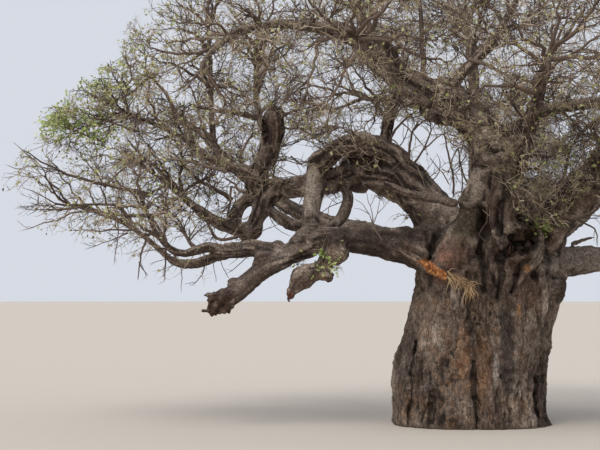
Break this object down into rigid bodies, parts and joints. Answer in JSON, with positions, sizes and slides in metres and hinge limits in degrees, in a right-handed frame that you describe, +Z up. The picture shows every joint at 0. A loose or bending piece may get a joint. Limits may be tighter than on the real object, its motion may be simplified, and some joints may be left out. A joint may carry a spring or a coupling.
{
  "type": "baobab tree",
  "caption": "Old rooted baobab with a squat torn trunk, heavy twisted boughs and a wide, nearly bare crown of fine twigs.",
  "frame": {"origin": "middle of the flat cut under the trunk, at ground level", "axes": "+Z up along the trunk, +X along the crown's longest reach, -Y towards the side the picture was taken from"},
  "size_m": [24.7909, 21.2475, 14.2748],
  "materials": {
    "trunk_bark": "rough, pitted and fibrous grey-brown bark",
    "bough_bark": "wrinkled grey-brown bark",
    "crown_mass": "dull brown twigs with a few yellow-green young leaves"
  },
  "bodies": {
    "root": {"antler_lower": "bough_bark", "antler_upper": "bough_bark", "arch_bough": "bough_bark", "arch_outer": "bough_bark", "arch_twin": "bough_bark", "back_bough": "bough_bark", "back_fork": "bough_bark", "back_left_bough": "bough_bark", "back_left_mass": "crown_mass", "back_mass": "crown_mass", "back_right_bough": "bough_bark", "back_riser": "bough_bark", "broken_bough": "bough_bark", "centre_bough": "bough_bark", "centre_upper": "bough_bark", "crown_riser": "bough_bark", "drop_spur": "bough_bark", "front_left_mass": "crown_mass", "front_limb": "bough_bark", "front_mass": "crown_mass", "front_right_mass": "crown_mass", "front_upright": "bough_bark", "hanging_spur": "bough_bark", "hanging_tip": "bough_bark", "high_front_limb": "bough_bark", "high_left_bough": "bough_bark", "high_left_limb": "bough_bark", "left_back_mass": "crown_mass", "left_high_mass": "crown_mass", "left_low_mass": "crown_mass", "left_mid_mass": "crown_mass", "left_tip_mass": "crown_mass", "left_top_mass": "crown_mass", "link_loop": "bough_bark", "link_upright": "bough_bark", "low_bough": "bough_bark", "low_left_limb": "bough_bark", "mid_left_limb": "bough_bark", "right_back_mass": "crown_mass", "right_bough": "bough_bark", "right_bough_tip": "bough_bark", "right_high_limb": "bough_bark", "right_reach": "bough_bark", "right_riser": "bough_bark", "right_tip_mass": "crown_mass", "right_upper_mass": "crown_mass", "right_upright": "bough_bark", "right_upright_tip": "bough_bark", "stump_mass": "crown_mass", "stump_shoot": "bough_bark", "top_back_mass": "crown_mass", "top_left_mass": "crown_mass", "top_limb": "bough_bark", "top_mass": "crown_mass", "top_right_mass": "crown_mass", "trunk": "trunk_bark", "upper_left_limb": "bough_bark", "upper_left_riser": "bough_bark", "upright_stump": "bough_bark"}
  },
  "joints": []
}
